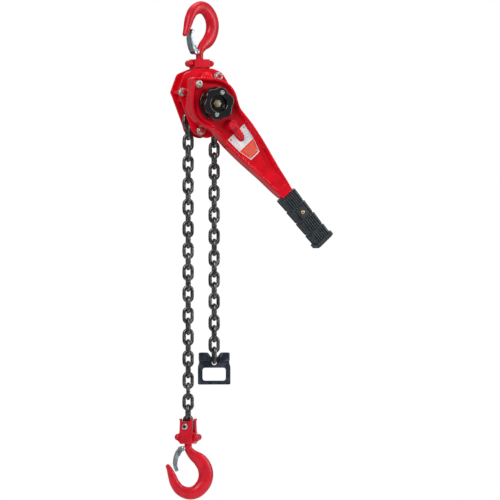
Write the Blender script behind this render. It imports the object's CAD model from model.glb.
"""Lever chain hoist: fine meshes, painted and plated looks, and a pale studio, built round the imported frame.

The scene is in metres, +Z up, in the frame's own axes. Sizes below are in millimetres and angles in degrees.
They repeat the part's driving dimensions.
"""

import math

import bmesh
import bpy
from mathutils import Matrix, Vector


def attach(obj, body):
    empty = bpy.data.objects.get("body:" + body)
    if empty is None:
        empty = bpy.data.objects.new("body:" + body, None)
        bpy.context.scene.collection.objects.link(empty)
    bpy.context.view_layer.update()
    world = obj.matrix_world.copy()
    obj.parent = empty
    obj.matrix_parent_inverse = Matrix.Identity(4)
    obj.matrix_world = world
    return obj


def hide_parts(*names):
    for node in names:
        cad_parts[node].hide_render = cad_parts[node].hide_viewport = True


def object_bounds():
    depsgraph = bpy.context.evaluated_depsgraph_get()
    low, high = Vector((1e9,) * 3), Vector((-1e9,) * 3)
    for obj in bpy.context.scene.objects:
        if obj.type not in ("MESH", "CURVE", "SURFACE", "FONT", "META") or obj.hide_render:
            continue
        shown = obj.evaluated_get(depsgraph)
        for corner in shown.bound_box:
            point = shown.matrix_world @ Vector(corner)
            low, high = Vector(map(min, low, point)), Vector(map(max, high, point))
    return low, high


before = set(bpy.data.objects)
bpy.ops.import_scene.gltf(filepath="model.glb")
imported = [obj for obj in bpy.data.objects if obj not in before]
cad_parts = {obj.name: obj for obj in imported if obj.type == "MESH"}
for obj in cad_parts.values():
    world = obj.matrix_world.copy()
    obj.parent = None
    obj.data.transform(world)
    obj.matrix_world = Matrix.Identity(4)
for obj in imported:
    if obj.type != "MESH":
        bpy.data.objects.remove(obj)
CAD_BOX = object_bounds()

MM = 0.001
GAP = 0.3                     # between sheets that lie on each other
SEAM = 0.15                   # half the gap between two forged halves

# ---------------------------------------------------------------- driving dimensions (mm)
DRIVE_DROP = 150.5
DRIVE_X = 3.0                 # the drive and both falls are this far right of the top hook
BOTTOM_SEAT_DROP = 787.6
LEVER_ANGLE = -48.2
TOP_HOOK_TURN = 20.0
BLOCK_TURN = -47.0
BOTTOM_HOOK_TURN = -15.0

WIRE = 6.0
PITCH = 18.0
LINK_WIDTH = 19.5
WELD_SWELL = 0.28
BEND_STEPS = 14
WIRE_SIDES = 14
CROWN = (PITCH + WIRE) / 2 + 0.02
CHAIN_X = 23.75
LOAD_PHASE = 8.2
FREE_PHASE = -4.3
CHAIN_TWIST = -12.6
TWIST_LINKS = 5               # links over which a fall takes up a twist
LOAD_LINKS = 30
FREE_LINKS = 23
SHEAVE_PHASE = 164.9
POCKET_STEP = 45.0            # turn of the sheave for one link

PLATE_IN = 12.75
PLATE_OUT = 16.75
YOKE_EAR_X = 18.4
YOKE_EAR_Z = 67.5
IDLER_LINE = 120.0
IDLER_R = 24.5
SELECTOR_S = 46.7
LEVER_BACK = 31.0
LEVER_SPLIT = 44.2
LEVER_FLOOR = 47.5
LEVER_FRONT = 57.0
HOUSING_R = 42.0
RIM_WIDTH = 4.4
CORNER_WIDTH = 9.2            # from the outline to where the corner inside the rim meets the floor
CORNER_TOP = LEVER_FRONT - 2.4
NOSE_S = -43.7                # screw in the nose, then the nose's centre and radius
NOSE_CENTRE = -51.4
NOSE_R = 5.8
GRIP_START = 201.6
GRIP_END = 304.0
GRIP_EXTRA = 2.4              # the fine grip ends this much later than the plain one
KNOB_R = 28.3
KNOB_LOBES = 6
KNOB_TURN = 15.0

STAY_BOLTS = [                # x, z from the drive axis, shoulder in front of the plate
    (-42.0, 19.5, 0.0),
    (-8.6, -44.3, 0.0),
    (20.5, 46.0, 5.5),
    (43.0, -12.0, 0.0),
]


# ---------------------------------------------------------------- frames
def turn(degrees, axis="Z"):
    return Matrix.Rotation(math.radians(degrees), 4, axis)


def shift(x, y, z):
    return Matrix.Translation((x * MM, y * MM, z * MM))


DRIVE = shift(DRIVE_X, 0, -DRIVE_DROP) @ turn(90, "X")    # local Z points to the front, -Y
YOKE = DRIVE @ shift(-DRIVE_X, 0, 0)
LEVER = DRIVE @ turn(LEVER_ANGLE)                         # local X runs down the lever
SELECTOR = LEVER @ shift(SELECTOR_S, 0, 0)
LOAD_FALL = shift(DRIVE_X - CHAIN_X, 0, -DRIVE_DROP)
FREE_FALL = shift(DRIVE_X + CHAIN_X, 0, -DRIVE_DROP)
TOP_HOOK = turn(TOP_HOOK_TURN) @ turn(-90, "X")
BOTTOM_HOOK = shift(DRIVE_X - CHAIN_X, 0, -BOTTOM_SEAT_DROP) @ turn(BOTTOM_HOOK_TURN) @ turn(90, "X")
BLOCK = shift(DRIVE_X - CHAIN_X, 0, -BOTTOM_SEAT_DROP) @ turn(BLOCK_TURN) @ turn(90, "X")


# ---------------------------------------------------------------- materials
def surface(name, shades, metallic, roughness, grain, bump, worn=None, coat=0.0, glint=0.5):
    """Mottled base colour, uneven roughness, fine bump and, with worn, a second colour along the edges.

    shades are dark, middle and light colours. roughness is (least, most). grain is the mottle's scale and
    the bump's scale. bump is the bump's height in metres. worn is (colour, how much of the edge it takes).
    glint is the shader's specular level.
    """
    look = bpy.data.materials.new(name)
    look.use_nodes = True
    nodes = look.node_tree.nodes
    link = look.node_tree.links.new
    shader = nodes["Principled BSDF"]
    shader.inputs["Metallic"].default_value = metallic
    shader.inputs["Coat Weight"].default_value = coat
    shader.inputs["Specular IOR Level"].default_value = glint
    shader.inputs["Coat Roughness"].default_value = 0.06
    place = nodes.new("ShaderNodeTexCoord").outputs["Object"]

    def noise(scale, detail):
        texture = nodes.new("ShaderNodeTexNoise")
        texture.inputs["Scale"].default_value = scale
        texture.inputs["Detail"].default_value = detail
        link(place, texture.inputs["Vector"])
        return texture.outputs["Fac"]

    def spread(value, low, high, new_low, new_high):
        node = nodes.new("ShaderNodeMapRange")
        limits = {"From Min": low, "From Max": high, "To Min": new_low, "To Max": new_high}
        for socket, number in limits.items():
            node.inputs[socket].default_value = number
        link(value, node.inputs["Value"])
        return node.outputs["Result"]

    ramp = nodes.new("ShaderNodeValToRGB")
    stops = ramp.color_ramp.elements
    stops[0].position = 0.3
    stops[1].position = 0.72
    stops.new(0.5)
    for stop, colour in zip((stops[0], stops[1], stops[2]), shades):
        stop.color = (*colour, 1.0)
    link(noise(grain[0], 5.0), ramp.inputs["Fac"])
    colour = ramp.outputs["Color"]
    if worn:
        edge = nodes.new("ShaderNodeNewGeometry").outputs["Pointiness"]
        rubbed = nodes.new("ShaderNodeMath")
        rubbed.operation = "MULTIPLY"
        link(spread(edge, 0.54, 0.62, 0.0, worn[1]), rubbed.inputs[0])
        link(spread(noise(grain[1] * 0.4, 6.0), 0.42, 0.58, 0.0, 1.0), rubbed.inputs[1])
        mix = nodes.new("ShaderNodeMix")
        mix.data_type = "RGBA"
        link(rubbed.outputs["Value"], mix.inputs["Factor"])
        link(colour, mix.inputs[6])
        mix.inputs[7].default_value = (*worn[0], 1.0)
        colour = mix.outputs[2]
    link(colour, shader.inputs["Base Color"])
    link(spread(noise(grain[0] * 2.3, 4.0), 0.3, 0.7, *roughness), shader.inputs["Roughness"])
    bumps = nodes.new("ShaderNodeBump")
    bumps.inputs["Strength"].default_value = 1.0
    bumps.inputs["Distance"].default_value = bump
    link(noise(grain[1], 3.0), bumps.inputs["Height"])
    link(bumps.outputs["Normal"], shader.inputs["Normal"])
    return look


RED = surface("red_enamel", [(0.62, 0.001, 0.010), (0.78, 0.002, 0.016), (0.86, 0.003, 0.022)], 0.0,
              (0.14, 0.26), (45.0, 420.0), 0.00006, ((0.84, 0.08, 0.09), 0.3), 0.15, 0.22)
RED_CAST = surface("red_cast_enamel", [(0.52, 0.002, 0.012), (0.70, 0.003, 0.020), (0.80, 0.006, 0.028)],
                   0.0, (0.26, 0.42), (70.0, 650.0), 0.00016, ((0.80, 0.08, 0.09), 0.4), 0.1, 0.35)
ZINC = surface("bright_zinc", [(0.42, 0.43, 0.41), (0.66, 0.66, 0.62), (0.80, 0.80, 0.76)], 1.0,
               (0.20, 0.42), (160.0, 900.0), 0.00006, ((0.92, 0.92, 0.90), 0.5))
LATCH_ZINC = surface("blue_zinc", [(0.22, 0.29, 0.33), (0.40, 0.47, 0.51), (0.56, 0.62, 0.66)], 1.0,
                     (0.26, 0.44), (110.0, 800.0), 0.00005, ((0.85, 0.88, 0.90), 0.6))
STEEL = surface("machined_steel_look", [(0.26, 0.26, 0.27), (0.42, 0.42, 0.43), (0.55, 0.55, 0.56)], 1.0,
                (0.26, 0.46), (120.0, 900.0), 0.00005, ((0.75, 0.75, 0.76), 0.5))
CHAIN = surface("oiled_black_chain", [(0.045, 0.043, 0.043), (0.125, 0.122, 0.120), (0.27, 0.27, 0.27)], 0.9,
                (0.20, 0.38), (150.0, 900.0), 0.00012, ((0.42, 0.42, 0.43), 0.6))
DARK = surface("blued_steel", [(0.012, 0.018, 0.030), (0.038, 0.050, 0.072), (0.095, 0.112, 0.145)], 0.7,
               (0.30, 0.50), (90.0, 700.0), 0.00010, ((0.22, 0.24, 0.28), 0.5))
PLASTIC = surface("moulded_black", [(0.0015, 0.0015, 0.002), (0.003, 0.003, 0.004), (0.007, 0.007, 0.008)],
                  0.0, (0.05, 0.12), (60.0, 900.0), 0.00002, ((0.03, 0.03, 0.03), 0.4), 0.4, 0.5)
RUBBER = surface("ribbed_rubber", [(0.007, 0.012, 0.016), (0.015, 0.024, 0.030), (0.030, 0.042, 0.050)], 0.0,
                 (0.34, 0.48), (80.0, 1100.0), 0.00002, ((0.07, 0.08, 0.085), 0.4))
LINING = surface("pressed_lining", [(0.10, 0.07, 0.05), (0.17, 0.13, 0.10), (0.24, 0.19, 0.15)], 0.0,
                 (0.75, 0.95), (400.0, 1500.0), 0.00015)
BRONZE = surface("turned_bronze", [(0.36, 0.24, 0.09), (0.58, 0.41, 0.18), (0.72, 0.55, 0.28)], 1.0,
                 (0.25, 0.45), (140.0, 900.0), 0.00005, ((0.85, 0.72, 0.45), 0.5))
PLATE_SILVER = surface("label_silver", [(0.72, 0.75, 0.78), (0.84, 0.87, 0.89), (0.94, 0.95, 0.96)], 0.0,
                       (0.28, 0.42), (70.0, 1200.0), 0.00003, ((0.95, 0.95, 0.95), 0.4))
PLATE_ORANGE = surface("label_orange", [(0.70, 0.030, 0.010), (0.82, 0.045, 0.016), (0.88, 0.075, 0.03)],
                       0.0, (0.30, 0.44), (90.0, 1200.0), 0.00003)
PLATE_PALE = surface("label_pale_print", [(0.80, 0.16, 0.10), (0.88, 0.26, 0.18), (0.92, 0.40, 0.32)], 0.0,
                     (0.35, 0.5), (200.0, 1200.0), 0.00002)
PLATE_GREY = surface("label_grey_print", [(0.36, 0.37, 0.38), (0.46, 0.47, 0.48), (0.56, 0.57, 0.58)], 0.0,
                     (0.35, 0.5), (200.0, 1200.0), 0.00002)


# ---------------------------------------------------------------- outlines
def arc(centre, radius, start, end, count):
    steps = [math.radians(start + (end - start) * i / (count - 1)) for i in range(count)]
    return [(centre[0] + radius * math.cos(a), centre[1] + radius * math.sin(a)) for a in steps]


def circle(radius, count=48, centre=(0.0, 0.0), start=0.0):
    return arc(centre, radius, start, start + 360.0 * (count - 1) / count, count)


def polar(radius, degrees):
    return radius * math.cos(math.radians(degrees)), radius * math.sin(math.radians(degrees))


def inset(loop, distance):
    """The loop moved inwards, for a loop that runs anticlockwise."""
    moved = []
    for i, point in enumerate(loop):
        before = Vector(point) - Vector(loop[i - 1])
        after = Vector(loop[(i + 1) % len(loop)]) - Vector(point)
        normal = before.normalized() + after.normalized()
        normal = Vector((-normal.y, normal.x)).normalized()
        half = max(0.35, math.cos(before.angle(after) / 2))
        moved.append(tuple(Vector(point) + normal * distance / half))
    return moved


def rounded(loop, radius, count=5):
    """The loop with every corner eased into a short curve."""
    eased = []
    for i, point in enumerate(loop):
        corner = Vector(point)
        before = Vector(loop[i - 1]) - corner
        after = Vector(loop[(i + 1) % len(loop)]) - corner
        reach = min(radius, before.length * 0.45, after.length * 0.45)
        start = corner + before.normalized() * reach
        end = corner + after.normalized() * reach
        for k in range(count):
            t = k / (count - 1)
            eased.append(tuple(start * (1 - t) ** 2 + corner * 2 * t * (1 - t) + end * t**2))
    return eased


def smooth_curve(points, per_span):
    """Catmull-Rom points through tuples of any length."""
    ends = [points[0]] + list(points) + [points[-1]]
    result = []
    for i in range(1, len(ends) - 2):
        a, b, c, d = ends[i - 1], ends[i], ends[i + 1], ends[i + 2]
        for k in range(per_span):
            t = k / per_span
            weights = (-t + 2 * t**2 - t**3, 2 - 5 * t**2 + 3 * t**3, t + 4 * t**2 - 3 * t**3, t**3 - t**2)
            result.append(tuple(0.5 * sum(w * p[n] for w, p in zip(weights, (a, b, c, d)))
                                for n in range(len(b))))
    result.append(tuple(points[-1]))
    return result


# ---------------------------------------------------------------- meshes, each in its own frame
def finished(form, name="shape"):
    bmesh.ops.recalc_face_normals(form, faces=form.faces)
    mesh = bpy.data.meshes.new(name)
    form.to_mesh(mesh)
    form.free()
    return mesh


def moved(mesh, matrix):
    mesh.transform(matrix)
    return mesh


def from_curve(curve):
    shape = bpy.data.objects.new("shape", curve)
    bpy.context.scene.collection.objects.link(shape)
    evaluated = shape.evaluated_get(bpy.context.evaluated_depsgraph_get())
    raw = bpy.data.meshes.new_from_object(evaluated)
    bpy.data.objects.remove(shape, do_unlink=True)
    form = bmesh.new()
    form.from_mesh(raw)
    bmesh.ops.remove_doubles(form, verts=form.verts, dist=0.000005)
    return form


def slab(loops, low, high, edge=0.5, steps=3):
    """Flat solid with rounded edges from closed loops (outline first, then holes), low to high along Z."""
    curve = bpy.data.curves.new("slab", "CURVE")
    curve.dimensions = "2D"
    curve.fill_mode = "BOTH"
    curve.extrude = ((high - low) / 2 - edge) * MM
    curve.bevel_depth = edge * MM
    curve.bevel_resolution = steps
    curve.offset = -edge * MM
    for loop in loops:
        spline = curve.splines.new("POLY")
        spline.points.add(len(loop) - 1)
        for point, (u, v) in zip(spline.points, loop):
            point.co = (u * MM, v * MM, 0.0, 1.0)
        spline.use_cyclic_u = True
    form = from_curve(curve)
    bmesh.ops.translate(form, verts=form.verts, vec=(0, 0, (low + high) / 2 * MM))
    return finished(form)


def wire(points, radius):
    """Round wire along points."""
    curve = bpy.data.curves.new("wire", "CURVE")
    curve.dimensions = "3D"
    curve.bevel_depth = radius * MM
    curve.bevel_resolution = 4
    curve.use_fill_caps = True
    spline = curve.splines.new("POLY")
    spline.points.add(len(points) - 1)
    for point, place in zip(spline.points, points):
        point.co = (*[value * MM for value in place], 1.0)
    return finished(from_curve(curve))


def lathe(profile, edge=0.35, steps=64):
    """Solid of revolution about Z with eased corners: profile of (radius, height), top to bottom outside."""
    line = []
    for i, point in enumerate(profile):
        if i in (0, len(profile) - 1):
            line.append(point)
            continue
        corner = Vector(point)
        before = Vector(profile[i - 1]) - corner
        after = Vector(profile[i + 1]) - corner
        reach = min(edge, before.length * 0.45, after.length * 0.45)
        if reach < 0.02:
            line.append(point)
            continue
        start = corner + before.normalized() * reach
        end = corner + after.normalized() * reach
        for t in (0.0, 0.33, 0.67, 1.0):
            line.append(tuple(start * (1 - t) ** 2 + corner * 2 * t * (1 - t) + end * t**2))
    form = bmesh.new()
    rings = []
    for radius, height in line:
        if radius < 0.001:
            rings.append([form.verts.new((0, 0, height * MM))])
            continue
        ring = []
        for k in range(steps):
            x, y = polar(radius, 360.0 * k / steps)
            ring.append(form.verts.new((x * MM, y * MM, height * MM)))
        rings.append(ring)
    for upper, lower in zip(rings, rings[1:]):
        for k in range(steps):
            corners = [upper[k % len(upper)], upper[(k + 1) % len(upper)]]
            corners += [lower[(k + 1) % len(lower)], lower[k % len(lower)]]
            unique = list(dict.fromkeys(corners))
            if len(unique) > 2:
                form.faces.new(unique)
    return finished(form)


def skin(rings, cyclic=False):
    """Closed skin over rings of points (mm), capped at both ends unless it is cyclic."""
    form = bmesh.new()
    loops = [[form.verts.new([value * MM for value in point]) for point in ring] for ring in rings]
    pairs = list(zip(loops, loops[1:]))
    if cyclic:
        pairs.append((loops[-1], loops[0]))
    for low, high in pairs:
        for k in range(len(low)):
            nxt = (k + 1) % len(low)
            form.faces.new((low[k], low[nxt], high[nxt], high[k]))
    if not cyclic:
        form.faces.new(loops[0])
        form.faces.new(loops[-1])
    return finished(form)


def loft(sections, sides=28):
    """Skin over elliptic sections: each is (u, v, half-width in the UV plane, half-depth in Z)."""
    rings = []
    for i, (u, v, wide, deep) in enumerate(sections):
        ahead = sections[min(i + 1, len(sections) - 1)]
        behind = sections[max(i - 1, 0)]
        along = Vector((ahead[0] - behind[0], ahead[1] - behind[1])).normalized()
        ring = []
        for k in range(sides):
            angle = 2 * math.pi * k / sides
            reach = wide * math.cos(angle)
            ring.append((u - along.y * reach, v + along.x * reach, deep * math.sin(angle)))
        rings.append(ring)
    return skin(rings)


def make(name, meshes, place, look, body, nodes=(), sharp=38.0):
    """One visible piece from meshes that share a frame; it rides on body and stands for the CAD nodes."""
    form = bmesh.new()
    for mesh in meshes:
        form.from_mesh(mesh)
        bpy.data.meshes.remove(mesh)
    mesh = bpy.data.meshes.new(name)
    form.to_mesh(mesh)
    form.free()
    mesh.shade_smooth()
    mesh.set_sharp_from_angle(angle=math.radians(sharp))
    mesh.materials.append(look)
    piece = bpy.data.objects.new(name, mesh)
    bpy.context.scene.collection.objects.link(piece)
    piece.matrix_world = place
    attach(piece, body)
    if nodes:
        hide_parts(*nodes)
    return piece


def dome(radius, height, low, at=(0.0, 0.0), collar=0.0, steps=36):
    """Round rivet or screw head on a flat seat."""
    profile = [(0.0, low + height)]
    for i in range(1, 8):
        angle = math.pi / 2 * i / 7
        profile.append((radius * math.sin(angle), low + height * math.cos(angle)))
    profile += [(radius, low - collar), (0.0, low - collar)]
    return moved(lathe(profile, 0.05, steps), shift(at[0], at[1], 0))


# ---------------------------------------------------------------- chain
def link_mesh(place, half_turn):
    """One welded link, long axis on Z; half_turn 0 lies in XZ, 90 in YZ. One side swells at the weld."""
    side = (LINK_WIDTH - WIRE) / 2
    straight = CROWN - side
    path = []
    for start, centre in ((0.0, straight), (180.0, -straight)):
        for i in range(BEND_STEPS + 1):
            angle = start + 180.0 * i / BEND_STEPS
            x, z = polar(side, angle)
            path.append((x, centre + z, angle, 0.0))
        for step in (-0.5, 0.0, 0.5):
            sign = -1 if start == 0.0 else 1
            weld = WELD_SWELL if sign < 0 and step == 0.0 else 0.0
            path.append((sign * side, sign * step * straight, 180.0 if sign < 0 else 0.0, weld))
    rings = []
    for x, z, angle, weld in path:
        out_x, out_z = polar(1.0, angle)
        ring = []
        for k in range(WIRE_SIDES):
            along = (WIRE / 2 + weld) * math.cos(2 * math.pi * k / WIRE_SIDES)
            across = (WIRE / 2 + weld) * math.sin(2 * math.pi * k / WIRE_SIDES)
            ring.append((x + out_x * along, across, z + out_z * along))
        rings.append(ring)
    return moved(skin(rings, True), place @ turn(half_turn))


def fall_links(first_z, count, twist_end):
    """A straight run of links: the first ones turn on to CHAIN_TWIST, the last ones on to twist_end."""
    links = []
    for i in range(count):
        start = min(1.0, i / TWIST_LINKS)
        finish = max(0.0, (i - (count - TWIST_LINKS)) / (TWIST_LINKS - 1))
        twist = CHAIN_TWIST * start + (twist_end - CHAIN_TWIST) * finish
        links.append(link_mesh(shift(0, 0, first_z - PITCH * i), (90 + 90 * i) % 180 + twist))
    return links


def wrapped_links():
    """Links round the sheave, alternately flat in a pocket and on edge in the groove; the end links hang."""
    radius = PITCH / (2 * math.tan(math.radians(POCKET_STEP / 2)))
    links = []
    for i in (1, 2, 3):
        angle = SHEAVE_PHASE - POCKET_STEP * i
        x, z = polar(radius, angle)
        links.append(link_mesh(shift(x, 0, z) @ turn(-angle, "Y"), 90 * (i % 2)))
    for angle, side in ((SHEAVE_PHASE - POCKET_STEP, 1), (SHEAVE_PHASE - 3 * POCKET_STEP, -1)):
        crown_z = polar(radius, angle)[1] + side * CROWN * math.cos(math.radians(angle))
        links.append(link_mesh(shift(-side * CHAIN_X, 0, crown_z + WIRE - CROWN), 0))
    return links


def make_chain():
    make("load_fall_links", fall_links(LOAD_PHASE - PITCH, LOAD_LINKS, BLOCK_TURN), LOAD_FALL, CHAIN,
         "load_chain", ["load_chain"], 60)
    make("free_fall_links", fall_links(FREE_PHASE - PITCH, FREE_LINKS, CHAIN_TWIST), FREE_FALL, CHAIN,
         "free_chain", ["free_chain"], 60)
    make("sheave_links", wrapped_links(), shift(DRIVE_X, 0, -DRIVE_DROP), CHAIN, "frame",
         ["wrapped_chain"], 60)


# ---------------------------------------------------------------- hooks
HOOK_LINE = [                 # forged hook, tip to neck: across, up, half-width, half-depth
    (-36.0, 37.4, 1.4, 1.8),
    (-35.2, 36.2, 3.0, 3.4),
    (-34.2, 34.4, 3.8, 4.2),
    (-31.3, 29.0, 4.9, 5.4),
    (-26.8, 17.3, 7.0, 7.2),
    (-22.3, 6.0, 8.2, 8.0),
    (-13.5, -5.2, 9.3, 8.6),
    (1.2, -10.6, 10.6, 9.0),
    (15.0, -7.0, 11.4, 9.0),
    (26.0, 5.0, 12.1, 9.0),
    (30.0, 19.2, 12.4, 9.0),
    (27.4, 33.0, 12.2, 8.4),
    (19.6, 44.5, 11.4, 7.8),
    (8.6, 53.0, 8.9, 7.0),
    (2.0, 60.5, 7.0, 6.5),
    (0.0, 66.0, 6.3, 6.3),
    (0.0, 69.0, 6.2, 6.2),
]
LATCH_PIVOT = (-9.2, 64.1)
LATCH_BACK = [(-9.2, 68.2), (-16.8, 64.6), (-22.4, 54.0), (-24.8, 42.0), (-23.9, 33.0), (-21.0, 25.6)]


def make_hook(side, place, neck_top):
    sections = smooth_curve(HOOK_LINE, 5)
    head_low = neck_top + 9.5
    sections += [(0.0, head_low, 6.2, 6.2), (0.0, head_low + 0.1, 9.4, 9.4), (0.0, head_low + 7.0, 9.4, 9.4)]
    web = slab([rounded([(-6.2, 60.8), (2.0, 60.8), (2.0, 67.0), (-6.2, 67.0)], 1.0)], -2.0, 2.0, 0.4)
    lug = slab([circle(3.9, 32, LATCH_PIVOT), circle(2.1, 24, LATCH_PIVOT)], -2.2, 2.2, 0.4)
    make(side + "_forged_hook", [loft(sections), web, lug], place, RED_CAST, side + "_hook",
         [side + "_hook"], 50)


def make_latch(side, place):
    """Pressed channel latch on its rivet, with the coil spring beside the lug."""
    back = smooth_curve(LATCH_BACK, 8)[10:]
    back = [(x - LATCH_PIVOT[0], z - LATCH_PIVOT[1]) for x, z in back]
    front = place @ shift(*LATCH_PIVOT, 0)
    rings = []
    for i, (x, z) in enumerate(back):
        ahead = Vector(back[min(i + 1, len(back) - 1)])
        behind = Vector(back[max(i - 1, 0)])
        along = (ahead - behind).normalized()
        inward = Vector((-along.y, along.x))
        share = 1.0 - i / (len(back) - 1)
        flange = 4.4 + 2.8 * share
        half = 6.6
        wall = 1.5
        profile = [(flange, half), (0.9, half), (0.0, half - 0.9), (0.0, -half + 0.9), (0.9, -half),
                   (flange, -half), (flange, -half + wall), (wall, -half + wall), (wall, half - wall),
                   (flange, half - wall)]
        rings.append([(x + inward.x * d, z + inward.y * d, w) for d, w in profile])
    channel = skin(rings)
    cheeks = []
    ear = [(-10.6, -9.0), (-6.5, 2.4), (0.0, 3.8), (3.4, 1.6), (3.4, -2.0), (-2.0, -5.4), (-6.6, -14.0)]
    for low in (-6.6, 5.1):
        cheeks.append(slab([rounded(ear, 2.0), circle(2.0, 24)], low, low + 1.5, 0.3))
    make(side + "_latch_channel", [channel] + cheeks, front, LATCH_ZINC, side + "_latch",
         [side + "_latch"], 40)
    pin = lathe([(0.0, 8.4), (1.6, 8.4), (2.9, 7.6), (2.9, 6.9), (1.8, 6.9), (1.8, -6.9), (2.9, -6.9),
                 (2.9, -7.6), (1.6, -8.4), (0.0, -8.4)], 0.3, 32)
    make(side + "_latch_rivet", [pin], front, ZINC, side + "_hook", [side + "_latch_pin"])
    coil = []
    turns = 3
    for i in range(turns * 24 + 1):
        angle = 2 * math.pi * i / 24
        coil.append((2.85 * math.cos(angle), 2.85 * math.sin(angle), 2.75 + 2.0 * i / (turns * 24)))
    coil.append((-3.6, -7.5, 4.75))
    make(side + "_latch_coil", [wire(coil, 0.33)], front, STEEL, side + "_hook",
         [side + "_latch_spring"], 60)


def make_hooks():
    make_hook("top", TOP_HOOK, 75.6)
    make_latch("top", TOP_HOOK)
    make_hook("bottom", BOTTOM_HOOK, 71.6)
    make_latch("bottom", BOTTOM_HOOK)


# ---------------------------------------------------------------- yoke and bottom block
def make_yoke():
    """Forged halves with eared rivets: a round boss on the left, a drum on the right."""
    body = [(14.0, 74.9), (-14.0, 74.9), (-14.0, 60.5), (-13.2, 60.0), (-13.2, 46.0), (-8.0, 41.6),
            (8.0, 41.6), (13.2, 46.0), (13.2, 60.0), (14.0, 60.5)]
    ears = [
        [(-12.0, 72.9)] + arc((-YOKE_EAR_X, YOKE_EAR_Z), 5.4, 90, 270, 14) + [(-12.0, 62.1)],
        [(12.0, 62.1)] + arc((YOKE_EAR_X, YOKE_EAR_Z), 5.4, -90, 90, 14) + [(12.0, 72.9)],
    ]
    for name, sign in (("yoke_front", 1), ("yoke_rear", -1)):
        low, high = sorted((sign * SEAM, sign * 12.3))
        ear_low, ear_high = sorted((sign * SEAM, sign * 5.3))
        meshes = [slab([rounded(body, 1.6)], low, high, 1.0)]
        for loop in ears:
            meshes.append(slab([loop], ear_low, ear_high, 0.8))
        make(name + "_forging", meshes, YOKE, RED_CAST, "frame", [name])
    left = [dome(5.7, 4.6, 5.2), moved(dome(5.7, 4.6, 5.2), turn(180, "X"))]
    make("yoke_boss_left", left, YOKE @ shift(-YOKE_EAR_X, YOKE_EAR_Z, 0), RED_CAST, "frame",
         ["yoke_rivet_left"])
    drum = lathe([(0.0, 9.0), (3.4, 9.0), (4.6, 8.2), (4.6, 5.2), (2.1, 5.2), (2.1, -5.2), (4.6, -5.2),
                  (4.6, -8.2), (3.4, -9.0), (0.0, -9.0)], 0.5, 40)
    make("yoke_drum_right", [drum], YOKE @ shift(YOKE_EAR_X, YOKE_EAR_Z, 0), RED_CAST, "frame",
         ["yoke_rivet_right"])


def make_block():
    """Forged halves of the bottom block: a flared mouth for the chain and winged ears with rivets."""
    bottom = 71.6
    trunk = [(-10.5, 0.0), (10.5, 0.0), (11.2, 19.0), (10.2, 36.5), (11.5, 42.2), (8.6, 42.2), (8.0, 38.0),
             (-8.0, 38.0), (-8.6, 42.2), (-11.5, 42.2), (-10.2, 36.5), (-11.2, 19.0)]
    for name, sign in (("block_front", 1), ("block_rear", -1)):
        meshes = []
        outline = [(x, z + bottom) for x, z in rounded(trunk, 1.8)]
        face_low, face_high = sorted((sign * 4.1, sign * 12.3))
        meshes.append(slab([outline], face_low, face_high, 1.4))
        foot = rounded([(-11.0, 0.2), (11.0, 0.2), (12.2, 19.0), (-12.2, 19.0)], 1.2)
        inner_low, inner_high = sorted((sign * SEAM, sign * 11.9))
        meshes.append(slab([[(x, z + bottom) for x, z in foot]], inner_low, inner_high, 1.2))
        for x in (-1, 1):
            ear = [(x * 10.0, 0.4), (x * 16.6, 4.9)]
            ear += arc((x * 16.4, 11.2), 5.6, -90 if x > 0 else 270, 90, 12)
            ear += [(x * 10.0, 19.0)]
            ear = [(u, v + bottom) for u, v in ear]
            ear_low, ear_high = sorted((sign * SEAM, sign * 6.8))
            meshes.append(slab([ear], ear_low, ear_high, 1.0))
            rivet = dome(4.0, 2.4, 6.6, (x * 16.4, 11.2 + bottom), 1.0)
            if sign < 0:
                rivet = moved(rivet, Matrix.Scale(-1, 4, (0, 0, 1)))
                rivet.flip_normals()
            meshes.append(rivet)
        make(name + "_forging", meshes, BLOCK, RED_CAST, "load_chain", [name])
    pin = lathe([(0.0, 15.4), (1.8, 15.4), (1.9, 16.2), (3.6, 16.2), (5.1, 15.2), (5.1, 12.7), (3.2, 12.7),
                 (3.2, -12.7), (5.1, -12.7), (5.1, -15.2), (3.6, -16.2), (0.0, -16.2)], 0.3, 40)
    centre = lathe([(0.0, 16.5), (2.6, 16.5), (2.6, 15.6), (0.0, 15.6)], 0.15, 32)
    make("block_pin_end", [centre], BLOCK @ shift(0, bottom + 28.9, 0), DARK, "load_chain")
    make("block_pin", [pin], BLOCK @ shift(0, bottom + 28.9, 0), ZINC, "load_chain", ["chain_pin"])


# ---------------------------------------------------------------- frame
PLATE_OUTLINE = [(13.6, 59.5), (-13.6, 59.5), (-38.0, 50.0), (-49.4, 20.0), (-27.6, -34.6), (-24.0, -47.0),
                 (-12.0, -52.3), (3.0, -57.4), (14.0, -53.6), (27.0, -46.0), (39.0, -31.0), (49.0, -10.0),
                 (49.4, 8.0), (42.0, 36.0), (31.0, 52.6)]


def make_plates():
    outline = rounded(PLATE_OUTLINE, 5.0)
    for name, low, high in (("brake_side_plate", PLATE_IN, PLATE_OUT),
                            ("gear_side_plate", -PLATE_OUT, -PLATE_IN)):
        plate = slab([outline, circle(14.2, 48)], low, high, 0.7)
        make(name + "_pressing", [plate], DRIVE, RED, "frame", [name])
    pin = lathe([(0.0, 17.6), (3.2, 17.6), (4.2, 16.6), (4.2, -17.0), (6.2, -17.0), (6.2, -18.6),
                 (5.4, -19.4), (0.0, -19.4)], 0.3, 40)
    make("suspension_rivet", [pin], YOKE @ shift(0, 48.6, 0), STEEL, "frame", ["suspension_pin"])


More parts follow.
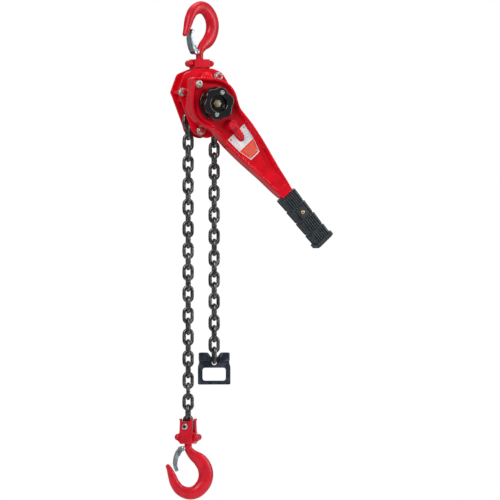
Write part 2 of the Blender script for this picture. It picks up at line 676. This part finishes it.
def make_stays():
    for i, (x, z, stand) in enumerate(STAY_BOLTS, 1):
        place = DRIVE @ shift(x, z, 0)
        low = PLATE_OUT + GAP + stand
        shank = [(0.0, low + 6.0), (3.1, low + 6.0), (3.1, PLATE_IN), (3.9, PLATE_IN), (3.9, -PLATE_IN),
                 (3.0, -PLATE_IN), (3.0, -PLATE_OUT - 0.2), (5.6, -PLATE_OUT - 0.2), (5.6, -PLATE_OUT - 3.4),
                 (4.4, -PLATE_OUT - 4.4), (0.0, -PLATE_OUT - 4.4)]
        make("stay_shank_%d" % i, [lathe(shank, 0.3, 40)], place, RED, "frame", ["stay_bolt_%d" % i])
        tip = lathe([(0.0, low + 9.2), (1.8, low + 9.1), (2.9, low + 8.3), (3.05, low + 5.4),
                     (0.0, low + 5.4)], 0.3, 32)
        make("stay_tip_%d" % i, [tip], place, RED, "frame")
        washer = lathe([(3.3, low + 1.3), (7.4, low + 1.3), (7.4, low), (3.3, low), (3.3, low + 1.3)],
                       0.25, 40)
        nut = slab([circle(6.7, 6, start=10.0 * i), circle(3.2, 24)], low + 1.3, low + 6.6, 0.55)
        crown = lathe([(3.2, low + 7.1), (5.2, low + 7.1), (5.7, low + 6.3), (5.7, low + 5.6),
                       (3.2, low + 5.6), (3.2, low + 7.1)], 0.2, 40)
        make("stay_hex_%d" % i, [washer, nut, crown], place, ZINC, "frame", ["stay_nut_%d" % i])


def cover_outline(grow=0.0):
    """Gear cover outline: a round end over each idler, the two joined through a point at either side."""
    loop = []
    for i in range(2):
        centre = polar(IDLER_R, IDLER_LINE + 180 * i)
        start = IDLER_LINE + 180 * i - 78
        loop += arc(centre, 23.0 + grow, start, start + 156, 24)
        loop.append(polar(25.4 + grow, IDLER_LINE + 180 * i + 90))
    return loop


def make_gear_cover():
    """Deep pressed cover on a thin flange."""
    shell = slab([cover_outline(-0.6)], -39.9, -PLATE_OUT - 0.6, 3.4, 5)
    flange = slab([cover_outline(0.0)], -PLATE_OUT - 3.0, -PLATE_OUT - GAP, 0.6)
    make("gear_cover_pressing", [shell, flange], DRIVE, RED, "frame", ["gear_cover"])


def make_brake_cover():
    """Round cover with a raised face, and a lobe of two steps above it."""
    meshes = [slab([circle(38.0, 72)], PLATE_OUT + GAP, 29.0, 2.2, 4)]
    meshes.append(slab([circle(34.5, 72)], 26.0, 30.6, 1.0))
    for radius, high, edge in ((13.2, 23.5, 5.0), (10.2, 28.8, 4.5)):
        loop = [(1.0 + radius, 25.0)] + arc((1.0, 41.0), radius, 0, 180, 32) + [(1.0 - radius, 25.0)]
        meshes.append(slab([loop], PLATE_OUT + GAP, high, edge, 8))
    make("brake_cover_pressing", meshes, DRIVE, RED, "frame", ["brake_cover"])


# ---------------------------------------------------------------- lever
ARM = [(30.0, 32.2), (38.0, 29.9), (52.0, 29.7), (66.0, 29.6), (80.0, 28.5), (100.0, 26.3), (125.0, 22.5),
       (155.0, 17.5), (182.0, 14.2), (200.6, 11.0)]


def lever_loop():
    """Outline of the lever in its own frame: a round housing with a squared nose, then a tapering arm."""
    arm = smooth_curve(ARM, 4)
    upper = [(s, t) for s, t in reversed(arm)]
    lower = [(s, -t) for s, t in arm]
    left = arc((0, 0), HOUSING_R, 57, 135, 24)
    right = arc((0, 0), HOUSING_R, -135, -57, 24)
    nose = arc((NOSE_CENTRE, 0.0), NOSE_R, 135, 225, 10)
    return upper + left + nose + right + lower


def arm_half_width(s):
    for (s0, t0), (s1, t1) in zip(ARM, ARM[1:]):
        if s0 <= s <= s1:
            return t0 + (t1 - t0) * (s - s0) / (s1 - s0)
    return ARM[-1][1]


def pan_loop(rim):
    """Inside of the rim: the outline moved in by the rim's width, closed by a round end before the grip."""
    end_s = 176.0
    arm = [(s, t - rim) for s, t in smooth_curve(ARM, 4) if s < end_s]
    half = arm_half_width(end_s) - rim
    upper = [(s, t) for s, t in reversed(arm)]
    lower = [(s, -t) for s, t in arm]
    left = arc((0, 0), HOUSING_R - rim, 57, 135, 24)
    right = arc((0, 0), HOUSING_R - rim, -135, -57, 24)
    nose = arc((NOSE_CENTRE + rim * 0.4, 0.0), NOSE_R - rim * 0.6, 135, 225, 8)
    tip = arc((end_s, 0.0), half, -80, 80, 12)
    return upper + left + nose + right + lower + tip


def make_lever():
    outline = lever_loop()
    pan = pan_loop(RIM_WIDTH)
    rim = slab([outline, pan], LEVER_SPLIT + GAP, LEVER_FRONT, 1.7, 5)
    holes = [circle(12.4, 48), circle(4.6, 32, (SELECTOR_S, 0.0))]
    floor = slab([inset(outline, 2.4)] + holes, LEVER_SPLIT + 0.8, LEVER_FLOOR, 0.3)
    ramp = []
    for i in range(15):
        s = 128.0 + 60.0 * i / 14
        share = i / 14
        height = LEVER_FLOOR - 0.2 + (LEVER_FRONT - LEVER_FLOOR - 0.5) * (3 * share**2 - 2 * share**3)
        half = arm_half_width(s) - 3.9
        ramp.append([(s, -half, LEVER_FLOOR - 1.0), (s, half, LEVER_FLOOR - 1.0), (s, half, height),
                     (s, half * 0.9, height + 0.05), (s, -half * 0.9, height + 0.05), (s, -half, height)])
    corner = []
    for outer, inner in zip(pan, pan_loop(CORNER_WIDTH)):
        band = []
        for share in (0.0, 0.3, 0.6, 0.85, 1.0):
            height = LEVER_FLOOR + 0.05 + (CORNER_TOP - LEVER_FLOOR) * (1.0 - share)**1.7
            s = outer[0] + (inner[0] - outer[0]) * share
            t = outer[1] + (inner[1] - outer[1]) * share
            band.append((s, t, height))
        corner.append(band + [(*inner, LEVER_FLOOR - 1.0), (*outer, LEVER_FLOOR - 1.0)])
    pad = lathe([(2.4, 55.6), (7.4, 55.6), (9.0, LEVER_FLOOR - 1.0), (2.4, LEVER_FLOOR - 1.0), (2.4, 55.6)],
                0.8, 48)
    pad = moved(pad, shift(NOSE_S, 0, 0))
    make("lever_front_pressing", [rim, floor, skin(ramp), skin(corner, True), pad], LEVER, RED, "lever",
         ["lever_front_shell"], 42)
    wall = slab([inset(outline, 0.5), inset(outline, 3.4)], LEVER_BACK, LEVER_SPLIT, 1.2, 4)
    back = slab([inset(outline, 1.6), circle(16.2, 48)], LEVER_BACK + 0.2, LEVER_BACK + 3.0, 0.8)
    make("lever_back_pressing", [wall, back], LEVER, RED, "lever", ["lever_back_shell"], 42)
    washer = lathe([(0.0, 57.0), (6.4, 57.0), (6.4, 55.4), (0.0, 55.4)], 0.3, 48)
    head = lathe([(0.0, 58.9), (1.6, 58.9), (1.6, 59.9), (4.2, 59.9), (5.4, 58.6), (5.4, 57.0),
                  (0.0, 57.0)], 0.5, 48)
    make("nose_screw", [washer, head], LEVER @ shift(NOSE_S, 0, 0), ZINC, "lever", ["housing_screw"])


def make_grip():
    """Moulded rubber: four panels with lengthwise ribs and stepped shoulders, and an end flange."""
    middle = 44.0
    flange = 8.0
    corner = 4.2
    rib_depth = 1.8
    rib_pitch = 4.07
    end = GRIP_END + GRIP_EXTRA
    panel = (end - GRIP_START) / 4
    count = 48

    def size(s):
        along = (s - GRIP_START) % panel
        if s > end - flange:
            return (18.9, 12.9, 0.0) if s < end - 1.2 else (17.2, 11.4, 0.0)
        if along > panel - 1.5:
            return (14.9, 10.9, 0.0)
        ease = min(1.0, along / 1.2, (panel - 1.5 - along) / 0.8 + 0.2)
        taper = 0.9 * along / panel
        return (15.2 + 1.4 * ease - taper, 11.0 + 1.4 * ease - taper, ease)

    stations = []
    for i in range(4):
        start = GRIP_START + panel * i
        stations += [start + 0.01, start + 0.5, start + 1.2, start + 4.0, start + 12.0, start + panel - 5.0,
                     start + panel - 2.6, start + panel - 1.9, start + panel - 1.3, start + panel - 0.2]
    stations = [s for s in stations if s < end - 8.3]
    stations += [end - 8.2, end - 7.8, end - 7.2, end - 3.0, end - 1.4, end - 1.0, end - 0.1]
    rings = []
    for s in stations:
        wide, deep, ribbed = size(s)
        ring = []
        for face in range(4):
            centre_t = (1, -1, -1, 1)[face] * (wide - corner)
            centre_w = (1, 1, -1, -1)[face] * (deep - corner)
            ring += arc((centre_t, centre_w), corner, 90.0 * face + 8, 90.0 * face + 82, 6)
            flat = (wide - corner) * 2 if face in (0, 2) else (deep - corner) * 2
            for k in range(1, count):
                t = -flat / 2 + flat * k / count
                rib = -rib_depth * ribbed * (0.5 - 0.5 * math.cos(2 * math.pi * t / rib_pitch))**3
                if face == 0:
                    ring.append((-t, deep + rib))
                elif face == 1:
                    ring.append((-wide - rib, -t))
                elif face == 2:
                    ring.append((t, -deep - rib))
                else:
                    ring.append((wide + rib, t))
        rings.append([(s, t, middle + w) for t, w in ring])
    make("grip_sleeve", [skin(rings)], LEVER, RUBBER, "lever", ["grip"], 32)
    pad = slab([rounded([(232.0, -9.0), (250.0, -9.0), (250.0, 9.0), (232.0, 9.0)], 2.0)],
               middle + 10.0, middle + 12.6, 0.6)
    make("grip_pad", [pad], LEVER, RUBBER, "lever")
    rivet = [dome(3.7, 2.0, middle + 12.5, (241.0, 0.0), 1.0)]
    make("grip_rivet", rivet, LEVER, BRONZE, "lever")


def make_nameplate():
    notch = [(62.5, 6.0)] + arc((76.0, 0.0), 6.0, 90, -90, 16) + [(62.5, -6.0)]
    plate = ([(115.5, -10.5), (115.5, 10.5), (90.0, 17.4), (62.5, 20.0)] + notch
             + [(62.5, -20.0), (90.0, -17.4)])
    base = LEVER_FLOOR + GAP
    make("nameplate_sheet", [slab([plate], base, base + 0.9, 0.15)], LEVER, PLATE_SILVER, "lever",
         ["nameplate"])
    lower = [(113.6, -9.9), (113.6, 9.9), (91.5, 16.2), (91.5, -16.2)]
    make("nameplate_field", [slab([lower], base + 0.6, base + 1.02, 0.08)], LEVER, PLATE_ORANGE, "lever")
    bars = []
    for i in range(5):
        s = 95.0 + 3.4 * i
        half = 12.6 - 1.0 * i - (1.6 if i % 2 else 0.0)
        bars.append(slab([[(s, -half), (s, half), (s + 1.0, half), (s + 1.0, -half)]], base + 0.8,
                         base + 1.12, 0.05))
    make("nameplate_bars", bars, LEVER, PLATE_PALE, "lever")
    marks = []
    for side in (-1, 1):
        for i in range(3):
            s = 73.0 + 4.6 * i
            near, far = sorted((side * 8.6, side * (15.4 - 1.2 * i)))
            marks.append(slab([[(s, near), (s, far), (s + 0.8, far), (s + 0.8, near)]], base + 0.6,
                              base + 0.98, 0.05))
    make("nameplate_marks", marks, LEVER, PLATE_GREY, "lever")
    rivets = []
    for s, t in ((66.5, 16.0), (66.5, -16.0), (111.0, 8.6), (111.0, -8.6)):
        rivets.append(dome(1.7, 1.1, base + 0.8, (s, t), 0.3, 24))
    make("nameplate_rivets", rivets, LEVER, STEEL, "lever")


def make_selector():
    boss = lathe([(0.0, 63.6), (3.2, 63.6), (3.8, 62.9), (6.6, 63.4), (8.5, 61.2), (8.5, 50.2), (9.6, 48.6),
                  (4.2, 48.4), (4.2, 34.6), (0.0, 34.6)], 0.7, 56)
    arm = slab([[(-2.0, -6.8), (9.0, -6.2), (22.0, -4.6)] + arc((25.0, 0.0), 4.6, -70, 70, 14) +
                [(22.0, 4.6), (9.0, 6.2), (-2.0, 6.8)]], 52.0, 60.0, 1.6, 4)
    make("selector_casting", [boss, arm], SELECTOR, RED_CAST, "selector", ["selector_lever"])


# ---------------------------------------------------------------- knob
def knob_loop(lobe_r, valley_r, count=144):
    loop = []
    for i in range(count):
        angle = 360.0 * i / count
        wave = 0.5 + 0.5 * math.cos(math.radians(KNOB_LOBES * (angle - KNOB_TURN)))
        loop.append(polar(valley_r + (lobe_r - valley_r) * wave**0.6, angle))
    return loop


def make_knob():
    crown = slab([knob_loop(KNOB_R, 24.6), circle(14.0, 72)], 57.4, 74.0, 2.4, 5)
    skirt = lathe([(6.2, 58.6), (KNOB_R, 58.6), (KNOB_R, 52.0), (6.2, 52.0), (6.2, 58.6)], 1.2, 96)
    cup = lathe([(14.6, 72.0), (14.6, 60.0), (6.2, 60.0), (6.2, 62.2), (9.6, 62.2), (10.2, 63.2),
                 (12.0, 63.2), (12.6, 64.6), (13.7, 64.6), (14.0, 72.0), (14.6, 72.0)], 0.3, 72)
    make("knob_moulding", [crown, skirt, cup], DRIVE, PLASTIC, "knob", ["knob"])
    for i in range(2):
        x, z = polar(19.0, 75.0 + 180.0 * i)
        head = lathe([(0.0, 75.0), (1.1, 75.0), (1.4, 76.2), (3.0, 76.2), (3.8, 75.2), (3.8, 73.8),
                      (0.0, 73.8)], 0.3, 40)
        make("knob_fixing_%d" % (i + 1), [head], DRIVE @ shift(x, z, 0), ZINC, "knob",
             ["knob_screw_%d" % (i + 1)])
    nut = slab([circle(7.0, 6), circle(4.2, 32)], 62.4, 67.0, 0.6)
    collar = lathe([(4.1, 67.8), (5.4, 67.8), (5.8, 66.6), (4.1, 66.6), (4.1, 67.8)], 0.2, 48)
    make("knob_nut", [nut, collar], DRIVE, BRONZE, "drive_shaft", ["shaft_nut"])
    stud = lathe([(0.0, 70.2), (2.6, 70.2), (3.7, 69.2), (3.9, 60.0), (0.0, 60.0)], 0.3, 40)
    make("shaft_stud", [stud], DRIVE, STEEL, "drive_shaft")


# ---------------------------------------------------------------- tail stop
def make_tail_stop():
    """Plate on the free chain's last link: thick rounded wings on both faces above, a window below."""
    last = FREE_PHASE - PITCH * FREE_LINKS
    eye = last - (PITCH + WIRE) / 2
    place = FREE_FALL @ shift(0, 0, eye) @ turn(CHAIN_TWIST) @ turn(90, "X")
    top = 16.8
    low = top - 53.6
    outline = [(-27.5, low), (27.5, low), (27.5, low + 30.0), (25.5, low + 36.0), (25.5, top), (11.0, top),
               (4.6, top - 8.4), (-4.6, top - 8.4), (-11.0, top), (-25.5, top), (-25.5, low + 36.0),
               (-27.5, low + 30.0)]
    window = rounded([(-20.0, low + 6.6), (20.0, low + 6.6), (20.0, low + 28.0), (-20.0, low + 28.0)], 5.0)
    plate = slab([rounded(outline, 2.4), window, circle(4.4, 24)], -1.9, 1.9, 0.8)
    meshes = [plate]
    for side in (1, -1):
        wing = rounded([(side * 8.0, top - 15.0), (side * 25.4, top - 15.0), (side * 25.4, top),
                        (side * 11.6, top), (side * 6.6, top - 8.0)][::side], 2.6)
        for face in (1, -1):
            near, far = sorted((face * 1.6, face * 7.4))
            meshes.append(slab([wing], near, far, 2.4, 4))
    make("tail_stop_pressing", meshes, place, DARK, "tail_stop", ["tail_stop"])


# ---------------------------------------------------------------- carried-over CAD nodes
CARRIED = {
    STEEL: ["load_sheave", "load_gear", "idler_gear_a", "idler_gear_b", "pinion_shaft", "brake_hub",
            "ratchet_disc", "brake_pawl_a", "brake_pawl_b", "drive_gear", "changeover_pawl"],
    RED: ["chain_guide_left", "chain_guide_right"],
    DARK: ["chain_stripper"],
    BRONZE: ["sheave_bearing_front", "sheave_bearing_rear"],
    LINING: ["friction_disc_inner", "friction_disc_outer"],
}


def dress_cad_nodes():
    for look, names in CARRIED.items():
        for name in names:
            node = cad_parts[name]
            for slot in node.material_slots:
                slot.material = look


# ---------------------------------------------------------------- studio
def make_stage():
    low = CAD_BOX[0][2]
    form = bmesh.new()
    bmesh.ops.create_circle(form, cap_ends=True, segments=96, radius=0.7)
    mesh = finished(form, "studio_floor")
    floor = bpy.data.objects.new("studio_floor", mesh)
    floor.location = (0.0, 0.0, low - 0.06)
    bpy.context.scene.collection.objects.link(floor)
    look = surface("pale_floor", [(0.86, 0.86, 0.86), (0.89, 0.89, 0.89), (0.91, 0.91, 0.91)], 0.0,
                   (0.7, 0.85), (1.5, 60.0), 0.0002)
    mesh.materials.append(look)
    world = bpy.data.worlds.new("studio")
    world.use_nodes = True
    world.node_tree.nodes["Background"].inputs["Color"].default_value = (0.97, 0.975, 0.98, 1.0)
    world.node_tree.nodes["Background"].inputs["Strength"].default_value = 0.28
    nodes = world.node_tree.nodes
    link = world.node_tree.links.new
    backdrop = nodes.new("ShaderNodeBackground")
    backdrop.inputs["Color"].default_value = (1.0, 1.0, 1.0, 1.0)
    ray = nodes.new("ShaderNodeLightPath")
    choose = nodes.new("ShaderNodeMixShader")
    link(ray.outputs["Is Camera Ray"], choose.inputs["Fac"])
    link(nodes["Background"].outputs["Background"], choose.inputs[1])
    link(backdrop.outputs["Background"], choose.inputs[2])
    link(choose.outputs["Shader"], nodes["World Output"].inputs["Surface"])
    bpy.context.scene.world = world
    bpy.context.scene.view_settings.view_transform = "Standard"


def add_light(name, place, target, size, power):
    lamp = bpy.data.lights.new(name, "AREA")
    lamp.shape = "RECTANGLE"
    lamp.size = size[0]
    lamp.size_y = size[1]
    lamp.energy = power
    light = bpy.data.objects.new(name, lamp)
    light.location = place
    light.rotation_euler = (Vector(target) - Vector(place)).to_track_quat("-Z", "Y").to_euler()
    bpy.context.scene.collection.objects.link(light)


def make_lights():
    middle = (0.0, 0.0, -0.35)
    add_light("key_softbox", (-1.5, -1.6, 0.9), middle, (0.9, 1.3), 30.0)
    add_light("strip_softbox", (1.5, -1.2, 0.2), middle, (0.3, 1.8), 17.0)
    add_light("top_softbox", (0.1, 0.2, 1.5), middle, (1.2, 1.2), 12.0)
    add_light("back_softbox", (0.6, 1.8, 0.3), middle, (1.2, 1.6), 7.0)


def make_camera():
    """Long lens level with the hoist's middle, 24.5 degrees round to the left of its front."""
    target = Vector((0.0765, -0.0349, -0.3933))
    place = Vector((-5.679, -12.665, -0.3933))
    data = bpy.data.cameras.new("camera")
    data.lens = 600.0
    data.sensor_width = 36.0
    camera = bpy.data.objects.new("camera", data)
    camera.location = place
    camera.rotation_euler = (target - place).to_track_quat("-Z", "Y").to_euler()
    bpy.context.scene.collection.objects.link(camera)
    bpy.context.scene.camera = camera


make_chain()
make_hooks()
make_yoke()
make_block()
make_plates()
make_stays()
make_gear_cover()
make_brake_cover()
make_lever()
make_grip()
make_nameplate()
make_selector()
make_knob()
make_tail_stop()
dress_cad_nodes()
make_stage()
make_lights()
make_camera()
